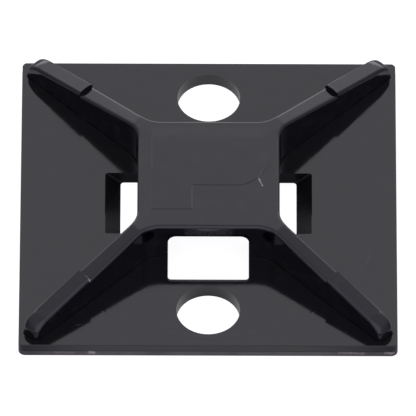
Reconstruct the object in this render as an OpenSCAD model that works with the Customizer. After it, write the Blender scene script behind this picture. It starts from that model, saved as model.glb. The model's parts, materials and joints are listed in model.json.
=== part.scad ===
// Four-way cable tie mount, screw-down, in one moulded piece.
// A square base plate carries a raised square bridge on four diagonal legs. A cable tie passes under
// the bridge along X or along Y, through a cross-shaped opening whose four ends are ramps.
// Frame: millimetres, +Z up, origin at the centre of the base's underside. Screw holes lie along Y.

/* [Base plate] */
// Side of the square base plate
plate_w = 28; // [26:0.5:34]
// Thickness of the base plate
plate_t = 1.1; // [0.8:0.05:1.8]
// Radius of the plate's four corners, in plan
plate_corner_r = 0.5; // [0.2:0.1:2]
// How far each side leans in above the mould's parting line
plate_taper = 0.02; // [0.02:0.02:0.2]
// Height of the parting line that runs round the plate's side
parting_z = 0.5; // [0.3:0.05:0.6]
// Radius of the plate's top edge
plate_edge_r = 0.06; // [0.04:0.01:0.2]

/* [Screw holes] */
// Diameter of each of the two screw holes
hole_d = 4.7; // [3:0.1:5]
// Distance between the centres of the screw holes
hole_pitch = 21; // [20.6:0.1:22.4]

/* [Tie passages] */
// Width of each of the two crossing passages for a cable tie
passage_w = 6; // [3:0.1:6.4]
// Distance from the centre to the top edge of each ramp
ramp_top = 7.7; // [7.2:0.05:8]
// How far each ramp runs inwards from its top edge to its bottom edge
ramp_run = 1.15; // [0.6:0.05:1.6]
// Radius of the two outer corners of each ramp's slot, where it cuts through the plate
slot_corner_r = 0.25; // [0.1:0.05:0.6]
// Radius of the two upper corners of each passage
arch_r = 0.65; // [0.2:0.05:1]
// Thickness of the bridge above the passages
bridge_t = 1.05; // [0.7:0.05:1.2]

/* [Bridge and legs] */
// Height of the bridge's top above the plate's top
bridge_rise = 3.34; // [3:0.02:4.4]
// Side of the square bridge at its top
bridge_w = 10.56; // [10:0.02:11]
// How much higher the bridge's top is at its centre than at its edges
bridge_crown = 0.02; // [0.01:0.01:0.1]
// Radius of the curve in plan that joins a bridge side to a leg
web_r = 2.2; // [1.5:0.1:3]
// Width of a leg at its top, where it leaves the bridge
leg_w = 1.2; // [1:0.05:1.6]
// How much wider a leg grows for each millimetre outwards
leg_flare = 0.03; // [0:0.005:0.04]
// Distance from the plate's sharp corner to a leg's end, along the diagonal
leg_corner_gap = 1.14; // [1:0.02:2]
// Height of a leg's top above the plate's top, just before its raised end
leg_low_rise = 2.25; // [2.05:0.05:2.6]
// Length of the raised end of a leg
pad_len = 5.7; // [4:0.1:6.5]
// Width of the raised end
pad_w = 1.4; // [1.4:0.02:2]
// Height of the step up to the raised end
pad_step = 0.34; // [0.1:0.02:0.4]
// Fall of the raised end's top for each millimetre outwards
pad_slope = 0.2; // [0.1:0.005:0.22]
// How much the raised end's top is crowned across the leg
pad_crown = 0.04; // [0.02:0.02:0.2]
// Radius of the raised end's two long top edges
pad_edge_r = 0.32; // [0.1:0.02:0.4]
// Radius of the nose that rolls down at a leg's end
nose_r = 1.9; // [1.2:0.1:2.4]
// Angle from the top through which the nose rolls before it is cut upright
nose_stop = 62; // [60:1:76]
// Rounding of a leg's two end corners, in plan
leg_corner_r = 0.3; // [0.1:0.05:0.5]
// Lean of the raised walls, as a share of their height
wall_draft = 0.02; // [0:0.01:0.1]
// Radius of the top edges of the bridge and of each leg as far as its raised end
edge_r = 0.25; // [0.1:0.05:0.3]
// Radius at the foot of the bridge and legs
foot_r = 0.08; // [0.05:0.01:0.3]

/* [Hidden] */
$fn = 64;
// Overrun of a cut past the face that it leaves by
clear = 0.5;
cut_len = plate_w + 2 * clear;
// How far a slot's corner piece reaches into the plate around it
corner_bite = 0.1;
ramp_bottom = ramp_top - ramp_run;
bridge_top = plate_t + bridge_rise;
bridge_under = bridge_top - bridge_t;
leg_root_z = plate_t / 2;
half_leg = leg_w / 2;
leg_end = plate_w / sqrt(2) - leg_corner_gap;
leg_low_z = plate_t + leg_low_rise;
step_at = leg_end - pad_len;
kink_at = bridge_w / sqrt(2);
// Where a leg's straight side begins, so that the web's curve is tangent to it and to the bridge side
web_end = kink_at - half_leg + web_r * (sqrt(2) - 1);
leg_fall = (bridge_top - leg_low_z) / (step_at - kink_at);
pad_high_z = leg_low_z + pad_step;
step_run = 0.04;
// The nose is an arc that is tangent to the raised end's slope
nose_tilt = atan(pad_slope);
nose_at = leg_end - nose_r * (sin(nose_stop) - sin(nose_tilt));
nose_z = pad_high_z - pad_slope * (nose_at - step_at);
// Least radius of the foot, and the most of a wall's height that the foot or the top edge may take
foot_least = 0.03;
round_share = 0.4;
// The most of a leg's half width that its top edge may take
width_share = 0.6;
// Facets of each curve
web_steps = 8;
tail_steps = 2;
nose_steps = 7;
corner_steps = 4;
round_steps = 4;
foot_steps = 2;
across_steps = 4;
edge_turn = 15;

// Height of a leg's top line at distance r from the centre
function leg_z(r) =
    r <= kink_at ? bridge_top :
    r <= step_at ? bridge_top - leg_fall * (r - kink_at) :
    r <= nose_at ? pad_high_z - pad_slope * (r - step_at) :
    nose_z - nose_r * cos(nose_tilt)
        + sqrt(max(0, nose_r ^ 2 - (r - nose_at + nose_r * sin(nose_tilt)) ^ 2));

// Crown of a leg's top at distance r: it fades out along the nose
function leg_crown(r) =
    r <= step_at ? 0 :
    r <= nose_at ? pad_crown :
    pad_crown * (leg_end - r) / (leg_end - nose_at);

// Radius of a leg's top edge at distance r
function leg_edge(r) = r <= step_at ? edge_r : pad_edge_r;

// Half width of a leg at distance r: it flares gently, then steps out to the raised end
function leg_half(r) =
    r <= step_at ? half_leg + leg_flare / 2 * (r - web_end) : pad_w / 2;

// A station on one side of a leg: distance r, half width, height, crown, the outward normal in plan of
// the foot, at angle a from the leg's side, and of the top edge, at angle top_a, then the edge's radius
function station(r, half, a, top_a) =
    [r, half, leg_z(r), leg_crown(r), [sin(a), cos(a)], [sin(top_a), cos(top_a)], leg_edge(r)];

// Stations along the curve that joins the bridge side to the leg, with one where the slope begins
web_kink_a = asin((web_end - kink_at) / web_r);
web_angles = [for (i = [0 : web_steps]) 45 + (web_kink_a - 45) * i / web_steps];
web_tail = [for (i = [1 : tail_steps]) web_kink_a * (1 - i / tail_steps)];
web_stations = [for (a = concat(web_angles, web_tail))
    let (r = web_end - web_r * sin(a))
    station(r, leg_half(r) + web_r * (1 - cos(a)), a, a)];

// Stations along the straight leg: the foot and the head of the step, then the nose's arc
step_stations = [
    station(step_at, leg_half(step_at), 0, 0),
    station(step_at + step_run, pad_w / 2, 0, 0)
];
nose_end_a = asin((leg_end - leg_corner_r - nose_at) / nose_r + sin(nose_tilt));
nose_stations = [for (i = [0 : nose_steps])
    let (a = nose_tilt + (nose_end_a - nose_tilt) * i / nose_steps)
    let (r = nose_at + nose_r * (sin(a) - sin(nose_tilt)))
    station(r, pad_w / 2, 0, 0)];

// Stations round the leg's end corner, where the top edge stays along the leg and runs into its end
corner_stations = [for (i = [1 : corner_steps])
    let (a = 90 * i / corner_steps)
    let (r = leg_end - leg_corner_r * (1 - sin(a)))
    station(r, pad_w / 2 - leg_corner_r * (1 - cos(a)), a, 0)];

side = concat(web_stations, step_stations, nose_stations, corner_stations);
last = len(side) - 1;
kink = web_steps;

// One leg's outline: out along its right side, across its end, and back along its left side.
// Each entry is a station and its place across the leg, from -1 on the right to 1 on the left.
leg_outline = concat(
    [for (i = [0 : last]) [side[i], -1]],
    [for (k = [1 : across_steps - 1]) [side[last], 2 * k / across_steps - 1]],
    [for (i = [last : -1 : 0]) [side[i], 1]]
);
points_per_leg = len(leg_outline);
points_per_ring = 4 * points_per_leg;

// Height of the wall at a station, then the foot's radius and the top edge's radius, each limited by
// the wall, the foot also by the plate that it stands on and the edge also by the leg's width
function wall_of(s) = s[2] - s[3] - plate_t;
function foot_room(s) = plate_w / 2 - plate_taper - plate_edge_r - (s[0] + s[1]) / sqrt(2);
function foot_of(s) = max(foot_least, min(foot_r, foot_room(s), round_share * wall_of(s)));
function edge_of(s) = min(s[6], round_share * wall_of(s), width_share * s[1]);

// The wall's levels from root to top edge: each gives the outward offset, the height and the normal
function lean(s, z) = wall_draft * (s[2] - s[3] - z);
function root_level(s) = [lean(s, plate_t) + foot_of(s), leg_root_z, s[4]];
function foot_level(s, a) =
    let (z = plate_t + foot_of(s) * (1 - cos(a)))
    [lean(s, z) + foot_of(s) * (1 - sin(a)), z, s[4]];
function edge_level(s, a) =
    let (z = s[2] - s[3] - edge_of(s) * (1 - sin(a)))
    [lean(s, z) - edge_of(s) * (1 - cos(a)), z, s[5]];
function levels(s) = concat(
    [root_level(s)],
    [for (i = [0 : foot_steps]) foot_level(s, 90 * i / foot_steps)],
    [for (i = [0 : round_steps]) edge_level(s, 90 * i / round_steps)]
);
level_count = foot_steps + round_steps + 3;

// A point of leg k in plan: a station's place, moved out to a level and turned to the leg's diagonal
function on_leg(k, s, level, across) =
    let (a = 45 + 90 * k)
    let (r = s[0] + level[0] * level[2][0], y = across * (s[1] + level[0] * level[2][1]))
    [r * cos(a) - y * sin(a), r * sin(a) + y * cos(a)];
function wall_point(k, entry, level) =
    let (place = on_leg(k, entry[0], level, entry[1]))
    [place[0], place[1], level[1]];
function ring(l) = [for (k = [0 : 3], entry = leg_outline) wall_point(k, entry, levels(entry[0])[l])];

// A point of the leg's crowned top between its two upper edges
function top_point(k, s, across) =
    let (place = on_leg(k, s, edge_level(s, 90), across))
    [place[0], place[1], s[2] - s[3] * across ^ 2];

wall_points = [for (l = [0 : level_count - 1]) each ring(l)];
top_points = [for (k = [0 : 3], i = [kink : last - 1], t = [1 : across_steps - 1])
    top_point(k, side[i], 2 * t / across_steps - 1)];

function wall_index(l, i) = l * points_per_ring + i % points_per_ring;
function right_index(k, i) = wall_index(level_count - 1, k * points_per_leg + i);
function left_index(k, i) = wall_index(level_count - 1, (k + 1) * points_per_leg - 1 - i);
// Index of the point at station i and place t across leg k, on the top
function top_index(k, i, t) =
    t == 0 ? right_index(k, i) :
    t == across_steps ? left_index(k, i) :
    i == last ? right_index(k, last + t) :
    len(wall_points) + (k * (last - kink) + i - kink) * (across_steps - 1) + t - 1;

wall_faces = [for (l = [0 : level_count - 2], i = [0 : points_per_ring - 1])
    each [[wall_index(l, i), wall_index(l + 1, i), wall_index(l + 1, i + 1)],
        [wall_index(l, i), wall_index(l + 1, i + 1), wall_index(l, i + 1)]]];
leg_top_faces = [for (k = [0 : 3], i = [kink : last - 1], t = [0 : across_steps - 1])
    each [[top_index(k, i, t), top_index(k, i, t + 1), top_index(k, i + 1, t + 1)],
        [top_index(k, i, t), top_index(k, i + 1, t + 1), top_index(k, i + 1, t)]]];
bridge_rim = [for (k = [3 : -1 : 0]) each concat(
    [for (i = [0 : kink]) left_index(k, i)],
    [for (t = [across_steps - 1 : -1 : 1]) top_index(k, kink, t)],
    [for (i = [kink : -1 : 0]) right_index(k, i)]
)];
bridge_centre = len(wall_points) + len(top_points);
bridge_top_faces = [for (i = [0 : len(bridge_rim) - 1])
    [bridge_centre, bridge_rim[i], bridge_rim[(i + 1) % len(bridge_rim)]]];
root_face = [for (i = [0 : points_per_ring - 1]) wall_index(0, i)];

// Bridge and legs as one loft, with leaning walls, rounded top edges and a rounded foot
module spider() {
    polyhedron(
        points = concat(wall_points, top_points, [[0, 0, bridge_top + bridge_crown]]),
        faces = concat(wall_faces, leg_top_faces, bridge_top_faces, [root_face]),
        convexity = 6
    );
}

// Side view of the plate: upright below the parting line, leaning in above it, with a round top edge
module plate_profile() {
    half = plate_w / 2;
    top = half - plate_taper;
    polygon(concat(
        [[-half, 0], [half, 0], [half, parting_z], [half - plate_taper / 2, parting_z]],
        [for (a = [0 : edge_turn : 90]) [top - plate_edge_r * (1 - cos(a)), plate_t - plate_edge_r * (1 - sin(a))]],
        [for (a = [90 : -edge_turn : 0]) [plate_edge_r * (1 - cos(a)) - top, plate_t - plate_edge_r * (1 - sin(a))]],
        [[plate_taper / 2 - half, parting_z], [-half, parting_z]]
    ));
}

module plate_outline() {
    inner = plate_w / 2 - plate_corner_r;
    square([plate_w, 2 * inner], center = true);
    square([2 * inner, plate_w], center = true);
    for (x = [-inner, inner], y = [-inner, inner])
        translate([x, y]) circle(plate_corner_r);
}

// A side view carried right through the plate along Y and, turned, along X
module through_both_ways() {
    intersection_for (turn = [0, 90])
        rotate([0, 0, turn]) rotate([90, 0, 0]) linear_extrude(cut_len, center = true) children();
}

module plate() {
    intersection() {
        linear_extrude(plate_t) plate_outline();
        through_both_ways() plate_profile();
    }
}

module screw_holes() {
    for (side = [-1, 1])
        translate([0, side * hole_pitch / 2, -clear]) cylinder(h = plate_t + 2 * clear, d = hole_d);
}

// Cross-section of a tie passage: upright sides and rounded upper corners
module arch_section() {
    straight = passage_w / 2 - arch_r;
    translate([-passage_w / 2, -clear]) square([passage_w, bridge_under - arch_r + clear]);
    translate([-straight, -clear]) square([2 * straight, bridge_under + clear]);
    for (x = [-straight, straight])
        translate([x, bridge_under - arch_r]) circle(arch_r);
}

// Length section of a tie passage: the ramps at both ends slope up and outwards through the plate
module ramp_section() {
    polygon([
        [-ramp_bottom, -clear], [ramp_bottom, -clear], [ramp_bottom, 0], [ramp_top, plate_t],
        [ramp_top, bridge_top], [-ramp_top, bridge_top], [-ramp_top, plate_t], [-ramp_bottom, 0]
    ]);
}

module tie_passage() {
    intersection() {
        rotate([90, 0, 90]) linear_extrude(cut_len, center = true) arch_section();
        rotate([90, 0, 0]) linear_extrude(cut_len, center = true) ramp_section();
    }
}

// What is left in one corner of a slot to round it, in plan: it leans with the ramp through the plate
module slot_corner() {
    lean_out = ramp_run / plate_t;
    multmatrix([[1, 0, lean_out, ramp_bottom], [0, 1, 0, passage_w / 2], [0, 0, 1, 0], [0, 0, 0, 1]])
        linear_extrude(plate_t)
            difference() {
                translate([-slot_corner_r, -slot_corner_r]) square(slot_corner_r + corner_bite);
                translate([-slot_corner_r, -slot_corner_r]) circle(slot_corner_r);
            }
}

module slot_corners() {
    for (turn = [0 : 90 : 270], flip = [0, 1])
        rotate([0, 0, turn]) mirror([0, flip, 0]) slot_corner();
}

module mount_body() {
    color([0.03, 0.03, 0.035]) {
        difference() {
            union() {
                plate();
                spider();
            }
            for (turn = [0, 90])
                rotate([0, 0, turn]) tie_passage();
            screw_holes();
        }
        slot_corners();
    }
}

mount_body();
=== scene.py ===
"""Looks of a moulded black cable tie mount: its surface, floor, light and camera."""
import bmesh
import bpy
import json
import math
from mathutils import Matrix, Vector

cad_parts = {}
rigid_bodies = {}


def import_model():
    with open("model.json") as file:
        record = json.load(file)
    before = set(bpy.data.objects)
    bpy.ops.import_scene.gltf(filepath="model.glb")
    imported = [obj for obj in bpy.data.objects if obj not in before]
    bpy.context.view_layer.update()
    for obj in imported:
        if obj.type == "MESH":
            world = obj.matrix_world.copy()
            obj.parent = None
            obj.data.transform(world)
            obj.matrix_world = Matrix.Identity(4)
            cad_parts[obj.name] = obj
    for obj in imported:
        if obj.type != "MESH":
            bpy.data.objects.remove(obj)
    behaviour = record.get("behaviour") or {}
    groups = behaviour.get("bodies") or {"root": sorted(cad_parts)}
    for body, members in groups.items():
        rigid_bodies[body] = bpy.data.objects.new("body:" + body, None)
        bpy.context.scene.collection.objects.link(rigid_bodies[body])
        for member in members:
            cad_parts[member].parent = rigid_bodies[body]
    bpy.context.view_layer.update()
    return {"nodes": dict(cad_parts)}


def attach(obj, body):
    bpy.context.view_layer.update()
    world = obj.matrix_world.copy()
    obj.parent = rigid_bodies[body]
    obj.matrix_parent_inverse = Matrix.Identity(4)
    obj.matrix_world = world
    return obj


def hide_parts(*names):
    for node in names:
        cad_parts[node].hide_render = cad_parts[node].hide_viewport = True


MM = 0.001
NODE = "mount_body"

# Camera, fitted to the object's corners, holes and openings: angles in degrees
CAM_EL, CAM_YAW, CAM_ROLL = 48.714, -0.005, 0.185
CAM_DIST = 1066.2 * MM
CAM_OFF = (0.034 * MM, -0.382 * MM)
CAM_LENS = 1239.4
SENSOR = 36.0
CLIP_NEAR, CLIP_FAR = 0.1, 10.0

# Light of the surroundings, by direction: lavender above and towards the viewer,
# brighter and more neutral behind the object, and brightest low down behind it
SKY_FRONT = (0.64, 0.63, 0.73, 1)
SKY_BACK = (1.22, 1.18, 1.27, 1)
SKY_EDGE = (2.20, 2.12, 2.20, 1)
SKY_NEAR = (1.10, 1.04, 1.30, 1)
SKY_TURN = (0.32, 0.78)             # the direction's Y where the front turns into the back
EDGE_TURN = (0.84, 0.96)            # where the back turns into its bright edge
NEAR_TURN = (-0.5, -0.15)           # where the viewer's side turns into the front
SKY_LEAN = 0.06                     # how much brighter the right side is than the middle
SIDE_FROM = (0.55, 0.85)            # beside the object and low down, the light is dimmer
SIDE_BELOW = (0.15, 0.65)
SIDE_DIM = 0.55
PLAIN_WHITE = (1, 1, 1, 1)

# Floor, in metres
FLOOR_SIZE = 4.0
FLOOR_DROP = 0.01 * MM              # keeps it off the plate's flat underside
FLOOR_TONE = 0.35
FLOOR_GLOW = 0.9                    # for the camera
# the sheen's ring is a painted pool of light seen in reflections, with no sheen under the object as
# painted shadow
FLOOR_SHEEN = 0.6                   # in a gloss, within a ring round the object's centre
SHEEN_IN, SHEEN_OUT = (0.0072, 0.0092), (0.016, 0.022)

# Shading of the solid's facets
WELD = 0.0005 * MM
FLAT_WITHIN = math.radians(0.4)
CRISP_FROM = math.radians(32)
FAR_APART = 9.0                     # the angle taken where a face has no normal

# The raised ends of the legs, whose slight crown reflects as a flat
PAD_FROM, PAD_TO = 12.9 * MM, 17.4 * MM      # along the diagonal
PAD_FALL = 0.2
PAD_ABOVE = 2.4 * MM
CROWN_WITHIN = math.radians(15)

# The tiny round at the walls' foot, which reflects as the wall does
FOOT_TOP = 1.2 * MM
FOOT_LEAN = (0.1, 0.98)             # the upward part of its normals

# Moulded nylon. Noise is given as scale per millimetre, detail and roughness
BLACK = (0.0008, 0.0010, 0.0026, 1)
DUSTY = (0.0060, 0.0050, 0.0052, 1)
# the pale colour of scratches and wear, also used for painted highlights and a painted reflection
CHALK_AND_HIGHLIGHT = (0.62, 0.55, 0.54, 1)
IOR = 1.55
GLOSS_NOISE, GLOSS_PATCHES = (0.5, 3.0, 0.5), (0.3, 0.7)
GLOSS = (0.08, 0.13)
DUST_NOISE, DUST_PATCHES = (0.9, 5.0, 0.6), (0.45, 0.75)
PLATE_TOP = 1.1                     # millimetres
# how much greyer the plate's top is, and the height above it where that ends, in millimetres
PLATE_GREYING, GREYING_BAND = 0.4, 0.05
CUT_ROUGH = 0.25                    # the plate's sides, holes and ramps are duller than its top
CUT_FROM, CUT_TO = 0.06, 0.02       # millimetres below the top where that ends

# Paler patches on the plate's sides, below the parting line, in millimetres
SIDE_AT = 13.9
SIDE_PALING = 0.10
PARTING = (0.38, 0.5)
SIDE_NOISE, SIDE_PATCHES = (0.6, 3.0, 0.5), (0.25, 0.75, 0.3, 1.0)

# Relief, in millimetres: noise and height
WAVES, WAVE_HEIGHT = (0.35, 2.0, 0.5), 0.012
RIPPLE, RIPPLE_HEIGHT = (1.1, 2.0, 0.5), 0.0016
GRAIN, GRAIN_HEIGHT = (4.0, 3.0, 0.5), 0.0004

# Pale marks, painted highlights and a painted reflection, in millimetres: two ends, half width and
# strength
BRIDGE_TOP = 4.44
FRONT = -14.0
PALE_MARKS_AND_PAINTED_LIGHT = [
    # painted highlights on the mould lines along the insert's step edges on the bridge, left and
    # middle
    ((-4.22, 3.32, BRIDGE_TOP), (-4.21, 0.6, BRIDGE_TOP), 0.045, 0.035),
    ((-1.22, -3.49, BRIDGE_TOP), (-1.23, -1.12, BRIDGE_TOP), 0.05, 0.05),
    # scratch on the bridge, its thin arm and its bright arm
    ((3.98, 0.20, BRIDGE_TOP), (3.66, -0.33, BRIDGE_TOP), 0.03, 0.15),
    ((3.73, -0.47, BRIDGE_TOP), (4.00, -1.17, BRIDGE_TOP), 0.06, 0.55),
    # scratch on the plate
    ((11.69, -5.83, PLATE_TOP), (12.06, -5.04, PLATE_TOP), 0.035, 0.06),
    # glints by the legs' feet
    ((-9.75, -12.02, PLATE_TOP), (-9.45, -11.95, PLATE_TOP), 0.05, 0.10),
    ((-8.75, -9.78, PLATE_TOP), (-8.60, -9.70, PLATE_TOP), 0.04, 0.06),
    ((8.62, -9.60, PLATE_TOP), (8.80, -9.78, PLATE_TOP), 0.04, 0.06),
    ((9.62, 9.02, PLATE_TOP), (9.95, 8.94, PLATE_TOP), 0.06, 0.08),
    ((-11.1, 9.86, PLATE_TOP), (-10.68, 9.84, PLATE_TOP), 0.04, 0.05),
    # painted glint at the lower end of the front-left step
    ((-9.00, -9.38, 3.52), (-8.74, -9.64, 3.42), 0.14, 0.7),
    # painted reflection on the wall above the front passage
    ((-1.4, -5.3, 3.8), (1.4, -5.3, 3.8), 0.45, 0.05),
    # painted highlight along the front top edge at the right, and worn spots on the front face
    ((10.3, FRONT, PLATE_TOP), (13.8, FRONT, PLATE_TOP), 0.04, 0.02),
    ((-11.3, FRONT, 0.35), (-9.9, FRONT, 0.30), 0.13, 0.12),
    ((-8.75, FRONT, 0.35), (-8.45, FRONT, 0.32), 0.17, 0.45),
    ((9.7, FRONT, 0.38), (11.5, FRONT, 0.30), 0.14, 0.22),
    ((13.1, FRONT, 0.35), (13.7, FRONT, 0.30), 0.16, 0.40),
]
MARK_CORE, MARK_EDGE = 0.3, 1.3     # shares of the half width where a mark is full and gone
RAGGED_NOISE, RAGGED = (3.0, 3.0, 0.5), (0.3, 0.65, 0.35, 1.0)

# The mould's insert leaves the back part of the bridge's top a little higher: in millimetres
INSERT_LEFT, INSERT_CORNER, INSERT_LOW, INSERT_HIGH = -4.22, -1.22, -3.50, -1.12
INSERT_BEND, INSERT_CURVE = 2.18, 0.357
INSERT_FADE = (3.5, 4.9)
STEP_RISE, STEP_HALF = 0.035, 0.045

# The faint circle that the mould leaves on the plate, in millimetres
RING_R, RING_HALF, RING_RISE = 13.15, 0.12, 0.003

# A colour mix node's sockets share their names, so they are picked by number
MIX_A, MIX_B, MIX_RESULT = 6, 7, 2


# ---------- node helpers ----------
class Nodes:
    """Short names for building a node tree."""

    def __init__(self, tree):
        self.tree = tree
        self.all = tree.nodes
        self.all.clear()

    def add(self, kind, **values):
        node = self.all.new(kind)
        for name, value in values.items():
            setattr(node, name, value)
        return node

    def put(self, socket, value):
        """Links a socket, or sets it."""
        if isinstance(value, bpy.types.NodeSocket):
            self.tree.links.new(value, socket)
        elif value is not None:
            socket.default_value = value

    def math(self, op, a, b=None, c=None, clamp=False):
        node = self.add("ShaderNodeMath", operation=op, use_clamp=clamp)
        for socket, value in zip(node.inputs, (a, b, c)):
            self.put(socket, value)
        return node.outputs[0]

    def vector(self, op, a, b=None):
        node = self.add("ShaderNodeVectorMath", operation=op)
        self.put(node.inputs[0], a)
        self.put(node.inputs["Scale"] if op == "SCALE" else node.inputs[1], b)
        return node.outputs["Value" if op in ("LENGTH", "DISTANCE", "DOT_PRODUCT") else "Vector"]

    def parts(self, vector):
        """X, Y and Z of a vector."""
        node = self.add("ShaderNodeSeparateXYZ")
        self.put(node.inputs[0], vector)
        return node.outputs

    def ramp(self, value, low, high, out_low=0.0, out_high=1.0):
        """A smooth change from one value at low to another at high."""
        node = self.add("ShaderNodeMapRange", interpolation_type="SMOOTHSTEP")
        for socket, v in zip(node.inputs, (value, low, high, out_low, out_high)):
            self.put(socket, v)
        return node.outputs[0]

    def noise(self, place, scale, detail, rough):
        node = self.add("ShaderNodeTexNoise")
        self.put(node.inputs["Vector"], place)
        node.inputs["Scale"].default_value = scale
        node.inputs["Detail"].default_value = detail
        node.inputs["Roughness"].default_value = rough
        return node.outputs["Fac"]

    def blend(self, factor, a, b):
        node = self.add("ShaderNodeMix", data_type="RGBA")
        self.put(node.inputs["Factor"], factor)
        self.put(node.inputs[MIX_A], a)
        self.put(node.inputs[MIX_B], b)
        return node.outputs[MIX_RESULT]


# ---------- surface ----------
def shaded_normal(face):
    """A face's normal, levelled across the crown of a leg's raised end and at the walls' foot."""
    centre = face.calc_center_median()
    out = Vector((math.copysign(1, centre.x), math.copysign(1, centre.y), 0)).normalized()
    level = Vector((PAD_FALL * out.x, PAD_FALL * out.y, 1)).normalized()
    on_pad = PAD_FROM < centre.dot(out) < PAD_TO and centre.z > PAD_ABOVE
    if on_pad and level.angle(face.normal, FAR_APART) < CROWN_WITHIN:
        return level
    lowest, highest = FOOT_LEAN
    if PLATE_TOP * MM < centre.z < FOOT_TOP and lowest < face.normal.z < highest:
        return Vector((face.normal.x, face.normal.y, 0)).normalized()
    return face.normal.copy()


def flat_regions(build, normal):
    """Numbers the faces by flat region and gives each region's area."""
    region, areas = {}, []
    for face in build.faces:
        if face in region:
            continue
        number, stack = len(areas), [face]
        region[face] = number
        areas.append(0.0)
        while stack:
            here = stack.pop()
            areas[number] += here.calc_area()
            for edge in here.edges:
                for other in edge.link_faces:
                    flat = normal[other].angle(normal[face], FAR_APART) < FLAT_WITHIN
                    if flat and other not in region:
                        region[other] = number
                        stack.append(other)
    return region, areas


def corner_normals(build):
    """A normal for each face corner: rounds are smooth, flats stay flat, sharp edges crisp."""
    normal = {face: shaded_normal(face) for face in build.faces}
    region, areas = flat_regions(build, normal)
    corners = []
    for face in build.faces:
        for vert in face.verts:
            near = [f for f in vert.link_faces
                    if normal[f].angle(normal[face], FAR_APART) < CRISP_FROM]
            parts = {region[f]: normal[f] for f in near}
            total = sum((n * areas[r] for r, n in parts.items()), Vector())
            corners.append(total.normalized())
    return corners


def moulded_body(node):
    """A welded copy of the CAD solid with its normals set by region."""
    mesh = node.data.copy()
    mesh.materials.clear()
    build = bmesh.new()
    build.from_mesh(mesh)
    bmesh.ops.remove_doubles(build, verts=build.verts, dist=WELD)
    bmesh.ops.dissolve_degenerate(build, dist=WELD, edges=build.edges)
    build.normal_update()
    for face in build.faces:
        face.smooth = True
    normals = corner_normals(build)
    build.to_mesh(mesh)
    build.free()
    mesh.normals_split_custom_set(normals)
    body = bpy.data.objects.new("mount_shell", mesh)
    bpy.context.scene.collection.objects.link(body)
    return body


def stroke_distance(n, place, start, end):
    """Distance of each place from the stroke between two points."""
    run = Vector(end) - Vector(start)
    offset = n.vector("SUBTRACT", place, start)
    along = n.vector("DOT_PRODUCT", offset, run)
    share = n.math("MULTIPLY", along, 1 / run.length_squared, clamp=True)
    nearest = n.vector("SCALE", tuple(run), share)
    return n.vector("DISTANCE", offset, nearest)


def pale_marks_and_painted_light(n, place):
    """How far each place is whitened by scratches and worn spots, and by painted highlights and a
    painted reflection.
    """
    ragged = n.ramp(n.noise(place, *RAGGED_NOISE), *RAGGED)
    total = 0.0
    for start, end, half, strength in PALE_MARKS_AND_PAINTED_LIGHT:
        away = stroke_distance(n, place, start, end)
        mark = n.ramp(away, MARK_CORE * half, MARK_EDGE * half, strength, 0.0)
        total = n.math("ADD", total, mark)
    return n.math("MULTIPLY", total, ragged)


def side_paling(n, place):
    """Paler patches on the plate's sides, below the parting line."""
    x, y, z = n.parts(place)
    out = n.math("MAXIMUM", n.math("ABSOLUTE", x), n.math("ABSOLUTE", y))
    patchy = n.ramp(n.noise(place, *SIDE_NOISE), *SIDE_PATCHES)
    low = n.ramp(z, *PARTING, SIDE_PALING, 0.0)
    on_side = n.math("GREATER_THAN", out, SIDE_AT)
    return n.math("MULTIPLY", n.math("MULTIPLY", low, patchy), on_side)


def step_at(n, value, place):
    """A mould step's rise from 0 to 1 where the value passes a place."""
    return n.ramp(value, place - STEP_HALF, place + STEP_HALF)


def mould_insert(n, place):
    """Height that the mould's insert leaves: its stepped front border bends back on the right."""
    x, y, _ = n.parts(place)
    past = n.math("MAXIMUM", n.math("SUBTRACT", x, INSERT_BEND), 0.0)
    border = n.math("MULTIPLY_ADD", n.math("MULTIPLY", past, past), INSERT_CURVE, INSERT_HIGH)
    right = step_at(n, n.math("SUBTRACT", y, border), 0.0)
    before = n.ramp(x, INSERT_CORNER - STEP_HALF, INSERT_CORNER + STEP_HALF, 1.0, 0.0)
    left = n.math("MULTIPLY", step_at(n, y, INSERT_LOW), before)
    inside = n.math("MULTIPLY", n.math("MAXIMUM", left, right), step_at(n, x, INSERT_LEFT))
    faded = n.math("MULTIPLY", n.ramp(x, *INSERT_FADE, 1.0, 0.0), n.ramp(y, *INSERT_FADE, 1.0, 0.0))
    return n.math("MULTIPLY", n.math("MULTIPLY", inside, faded), STEP_RISE)


def witness_ring(n, place):
    """Height of the faint circle that the mould leaves on the plate."""
    radius = n.vector("LENGTH", n.vector("MULTIPLY", place, (1, 1, 0)))
    off = n.math("ABSOLUTE", n.math("SUBTRACT", radius, RING_R))
    return n.ramp(off, 0.0, RING_HALF, RING_RISE, 0.0)


def height(n, place):
    """Relief of the surface in millimetres: slow waves, fine grain and the mould's marks."""
    waves = n.math("MULTIPLY", n.noise(place, *WAVES), WAVE_HEIGHT)
    ripple = n.math("MULTIPLY", n.noise(place, *RIPPLE), RIPPLE_HEIGHT)
    grain = n.math("MULTIPLY", n.noise(place, *GRAIN), GRAIN_HEIGHT)
    relief = n.math("ADD", n.math("ADD", waves, ripple), grain)
    return n.math("ADD", relief, n.math("ADD", mould_insert(n, place), witness_ring(n, place)))


def nylon_colour(n, place):
    """Black, greyer in dust patches and over the plate's top, paler at scratches, worn spots and
    the plate's sides below the parting line, with painted highlights and a painted reflection.
    """
    patches = n.ramp(n.noise(place, *DUST_NOISE), *DUST_PATCHES)
    z = n.parts(place)["Z"]
    on_plate = n.ramp(z, PLATE_TOP, PLATE_TOP + GREYING_BAND, PLATE_GREYING, 0.0)
    dust = n.math("MAXIMUM", patches, on_plate)
    pale = n.math("ADD", pale_marks_and_painted_light(n, place), side_paling(n, place))
    return n.blend(pale, n.blend(dust, BLACK, DUSTY), CHALK_AND_HIGHLIGHT)


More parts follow.
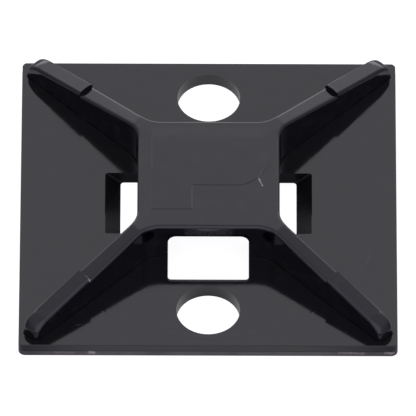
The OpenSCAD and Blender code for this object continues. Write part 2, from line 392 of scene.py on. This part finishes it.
def nylon_roughness(n, place):
    """Uneven gloss, duller where the plate is cut."""
    gloss = n.ramp(n.noise(place, *GLOSS_NOISE), *GLOSS_PATCHES, *GLOSS)
    z = n.parts(place)["Z"]
    dull = n.ramp(z, PLATE_TOP - CUT_FROM, PLATE_TOP - CUT_TO, CUT_ROUGH, 0.0)
    return n.math("ADD", gloss, dull)


def nylon():
    mat = bpy.data.materials.new("black_nylon_moulded")
    mat.use_nodes = True
    n = Nodes(mat.node_tree)
    place = n.vector("SCALE", n.add("ShaderNodeTexCoord").outputs["Object"], 1 / MM)
    bump = n.add("ShaderNodeBump")
    bump.inputs["Strength"].default_value = 1.0
    bump.inputs["Distance"].default_value = MM
    n.put(bump.inputs["Height"], height(n, place))
    skin = n.add("ShaderNodeBsdfPrincipled")
    skin.inputs["IOR"].default_value = IOR
    n.put(skin.inputs["Base Color"], nylon_colour(n, place))
    n.put(skin.inputs["Roughness"], nylon_roughness(n, place))
    n.put(skin.inputs["Normal"], bump.outputs["Normal"])
    n.put(n.add("ShaderNodeOutputMaterial").inputs["Surface"], skin.outputs["BSDF"])
    return mat


# ---------- floor, light and camera ----------
def floor_glow(n):
    """Glow of the floor where the camera sees it, and less in a gloss; none lights the object. In a
    gloss it is a painted ring of light round the object, with painted shadow under it.
    """
    path = n.add("ShaderNodeLightPath")
    straight = n.math("MAXIMUM", path.outputs["Is Camera Ray"], path.outputs["Is Transmission Ray"])
    away = n.vector("LENGTH", n.add("ShaderNodeTexCoord").outputs["Object"])
    inner = n.ramp(away, *SHEEN_IN, 0.0, FLOOR_SHEEN)
    ring = n.math("MULTIPLY", inner, n.ramp(away, *SHEEN_OUT, 1.0, 0.0))
    in_gloss = n.math("MULTIPLY", path.outputs["Is Glossy Ray"], ring)
    return n.math("MAXIMUM", n.math("MULTIPLY", straight, FLOOR_GLOW), in_gloss)


def white_paper():
    """The floor's material. From below it is clear, so that it doesn't hide the object."""
    mat = bpy.data.materials.new("white_paper")
    mat.use_nodes = True
    n = Nodes(mat.node_tree)
    paper = n.add("ShaderNodeBsdfDiffuse")
    paper.inputs["Color"].default_value = (FLOOR_TONE, FLOOR_TONE, FLOOR_TONE, 1)
    glow = n.add("ShaderNodeEmission")
    n.put(glow.inputs["Strength"], floor_glow(n))
    both = n.add("ShaderNodeAddShader")
    n.put(both.inputs[0], paper.outputs["BSDF"])
    n.put(both.inputs[1], glow.outputs["Emission"])
    sides = n.add("ShaderNodeMixShader")
    n.put(sides.inputs[0], n.add("ShaderNodeNewGeometry").outputs["Backfacing"])
    n.put(sides.inputs[1], both.outputs["Shader"])
    n.put(sides.inputs[2], n.add("ShaderNodeBsdfTransparent").outputs["BSDF"])
    n.put(n.add("ShaderNodeOutputMaterial").inputs["Surface"], sides.outputs["Shader"])
    return mat


def floor():
    build = bmesh.new()
    bmesh.ops.create_grid(build, x_segments=1, y_segments=1, size=FLOOR_SIZE / 2)
    mesh = bpy.data.meshes.new("floor")
    build.to_mesh(mesh)
    build.free()
    mesh.materials.append(white_paper())
    plane = bpy.data.objects.new("floor", mesh)
    plane.location.z = -FLOOR_DROP
    bpy.context.scene.collection.objects.link(plane)


def surroundings():
    """The light all round the object. The camera itself sees plain white there."""
    world = bpy.data.worlds.new("studio")
    bpy.context.scene.world = world
    world.use_nodes = True
    n = Nodes(world.node_tree)
    x, y, z = n.parts(n.add("ShaderNodeTexCoord").outputs["Generated"])
    sky = n.blend(n.ramp(y, *SKY_TURN), SKY_FRONT, SKY_BACK)
    sky = n.blend(n.ramp(y, *EDGE_TURN), sky, SKY_EDGE)
    sky = n.blend(n.ramp(y, *NEAR_TURN), SKY_NEAR, sky)
    lean = n.math("MULTIPLY_ADD", x, SKY_LEAN, 1.0)
    beside = n.ramp(n.math("ABSOLUTE", x), *SIDE_FROM)
    low = n.ramp(z, *SIDE_BELOW, SIDE_DIM, 0.0)
    level = n.math("MULTIPLY", lean, n.math("SUBTRACT", 1.0, n.math("MULTIPLY", beside, low)))
    is_camera = n.add("ShaderNodeLightPath").outputs["Is Camera Ray"]
    back = n.add("ShaderNodeBackground")
    n.put(back.inputs["Color"], n.blend(is_camera, n.vector("SCALE", sky, level), PLAIN_WHITE))
    n.put(n.add("ShaderNodeOutputWorld").inputs["Surface"], back.outputs["Background"])


def camera():
    el, yaw, roll = (math.radians(a) for a in (CAM_EL, CAM_YAW, CAM_ROLL))
    back = Vector((math.sin(yaw) * math.cos(el), -math.cos(yaw) * math.cos(el), math.sin(el)))
    level = Vector((math.cos(yaw), math.sin(yaw), 0))
    rise = back.cross(level)
    right = level * math.cos(roll) + rise * math.sin(roll)
    up = rise * math.cos(roll) - level * math.sin(roll)
    data = bpy.data.cameras.new("camera")
    data.sensor_width, data.lens = SENSOR, CAM_LENS
    data.clip_start, data.clip_end = CLIP_NEAR, CLIP_FAR
    cam = bpy.data.objects.new("camera", data)
    bpy.context.scene.collection.objects.link(cam)
    place = back * CAM_DIST - right * CAM_OFF[0] - up * CAM_OFF[1]
    turn = Matrix((right, up, back)).transposed().to_4x4()
    cam.matrix_world = Matrix.Translation(place) @ turn
    bpy.context.scene.camera = cam


def main():
    for thing in list(bpy.data.objects):
        bpy.data.objects.remove(thing)
    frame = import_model()
    body = moulded_body(frame["nodes"][NODE])
    body.data.materials.append(nylon())
    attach(body, "root")
    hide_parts(NODE)
    floor()
    surroundings()
    camera()
    bpy.context.scene.view_settings.view_transform = "Standard"


main()
